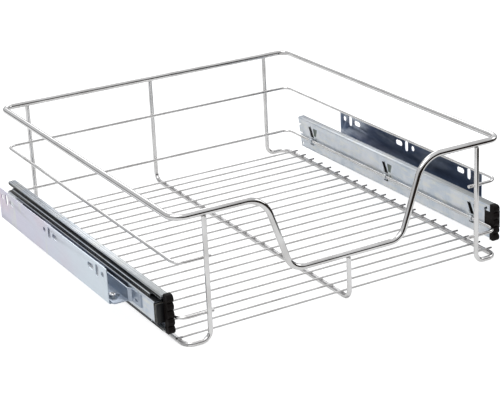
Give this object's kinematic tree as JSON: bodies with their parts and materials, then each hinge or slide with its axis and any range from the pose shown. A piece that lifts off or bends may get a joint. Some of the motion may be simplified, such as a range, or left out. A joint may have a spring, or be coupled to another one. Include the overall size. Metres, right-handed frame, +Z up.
{
  "type": "pull out cabinet basket",
  "caption": "Chromed wire basket with a hand dip in its front, hung between two full-extension ball runners with angled mounting plates.",
  "frame": {"origin": "on the surface the basket stands on, in the middle of the floor plan", "axes": "+X to the right across the cabinet, -Y to the front, the way the basket pulls out, +Z up"},
  "size_m": [0.468, 0.446, 0.1393],
  "materials": {
    "chrome_wire": "bright chrome plated wire",
    "zinc_rail": "bright zinc plated rolled steel",
    "zinc_plate": "clear zinc passivate with a faint lilac and yellow sheen",
    "ball_steel": "polished steel balls",
    "cage_plastic": "black moulded strip",
    "black_rubber": "soft black rubber",
    "black_plastic": "black moulded plastic",
    "screw_steel": "bright plated fasteners"
  },
  "bodies": {
    "cabinet_side": {"left_mounting_plate": "zinc_plate", "left_front_foot": "zinc_plate", "left_rear_foot": "zinc_plate", "left_foot_screws": "screw_steel", "left_foot_rivets": "screw_steel", "left_cabinet_rail": "zinc_rail", "left_cabinet_stop": "black_plastic", "right_mounting_plate": "zinc_plate", "right_front_foot": "zinc_plate", "right_rear_foot": "zinc_plate", "right_foot_screws": "screw_steel", "right_foot_rivets": "screw_steel", "right_cabinet_rail": "zinc_rail", "right_cabinet_stop": "black_plastic"},
    "basket": {"rim_wire": "chrome_wire", "upper_side_wire": "chrome_wire", "lower_side_wire": "chrome_wire", "left_frame_wire": "chrome_wire", "right_frame_wire": "chrome_wire", "centre_frame_wire": "chrome_wire", "floor_wire_01": "chrome_wire", "floor_wire_02": "chrome_wire", "floor_wire_03": "chrome_wire", "floor_wire_04": "chrome_wire", "floor_wire_05": "chrome_wire", "floor_wire_06": "chrome_wire", "floor_wire_07": "chrome_wire", "floor_wire_08": "chrome_wire", "floor_wire_09": "chrome_wire", "floor_wire_10": "chrome_wire", "floor_wire_11": "chrome_wire", "floor_wire_12": "chrome_wire", "floor_wire_13": "chrome_wire", "floor_wire_14": "chrome_wire", "floor_wire_15": "chrome_wire", "floor_wire_16": "chrome_wire", "floor_wire_17": "chrome_wire", "floor_wire_18": "chrome_wire", "floor_wire_19": "chrome_wire", "floor_wire_20": "chrome_wire", "floor_wire_21": "chrome_wire", "left_basket_rail": "zinc_rail", "left_bumper": "black_rubber", "right_basket_rail": "zinc_rail", "right_bumper": "black_rubber"},
    "left_middle_runner": {"left_middle_rail": "zinc_rail"},
    "left_outer_cage": {"left_outer_ball_cage": "cage_plastic", "left_outer_balls": "ball_steel"},
    "left_inner_cage": {"left_inner_ball_cage": "cage_plastic", "left_inner_balls": "ball_steel"},
    "right_middle_runner": {"right_middle_rail": "zinc_rail"},
    "right_outer_cage": {"right_outer_ball_cage": "cage_plastic", "right_outer_balls": "ball_steel"},
    "right_inner_cage": {"right_inner_ball_cage": "cage_plastic", "right_inner_balls": "ball_steel"}
  },
  "joints": [
    {"name": "basket_slide", "type": "slide", "parent": "cabinet_side", "child": "basket", "axis": [0, -1, 0], "range_m": [0, 0.38]},
    {"name": "left_middle_runner_slide", "type": "slide", "parent": "cabinet_side", "child": "left_middle_runner", "axis": [0, -1, 0], "range_m": [0, 0.19]},
    {"name": "left_outer_cage_slide", "type": "slide", "parent": "cabinet_side", "child": "left_outer_cage", "axis": [0, -1, 0], "range_m": [0, 0.285]},
    {"name": "left_inner_cage_slide", "type": "slide", "parent": "cabinet_side", "child": "left_inner_cage", "axis": [0, -1, 0], "range_m": [0, 0.095]},
    {"name": "right_middle_runner_slide", "type": "slide", "parent": "cabinet_side", "child": "right_middle_runner", "axis": [0, -1, 0], "range_m": [0, 0.19]},
    {"name": "right_outer_cage_slide", "type": "slide", "parent": "cabinet_side", "child": "right_outer_cage", "axis": [0, -1, 0], "range_m": [0, 0.285]},
    {"name": "right_inner_cage_slide", "type": "slide", "parent": "cabinet_side", "child": "right_inner_cage", "axis": [0, -1, 0], "range_m": [0, 0.095]}
  ],
  "couplings": [
    {"joint": "left_middle_runner_slide", "follows": "basket_slide", "ratio": 0.5},
    {"joint": "left_outer_cage_slide", "follows": "basket_slide", "ratio": 0.75},
    {"joint": "left_inner_cage_slide", "follows": "basket_slide", "ratio": 0.25},
    {"joint": "right_middle_runner_slide", "follows": "basket_slide", "ratio": 0.5},
    {"joint": "right_outer_cage_slide", "follows": "basket_slide", "ratio": 0.75},
    {"joint": "right_inner_cage_slide", "follows": "basket_slide", "ratio": 0.25}
  ]
}
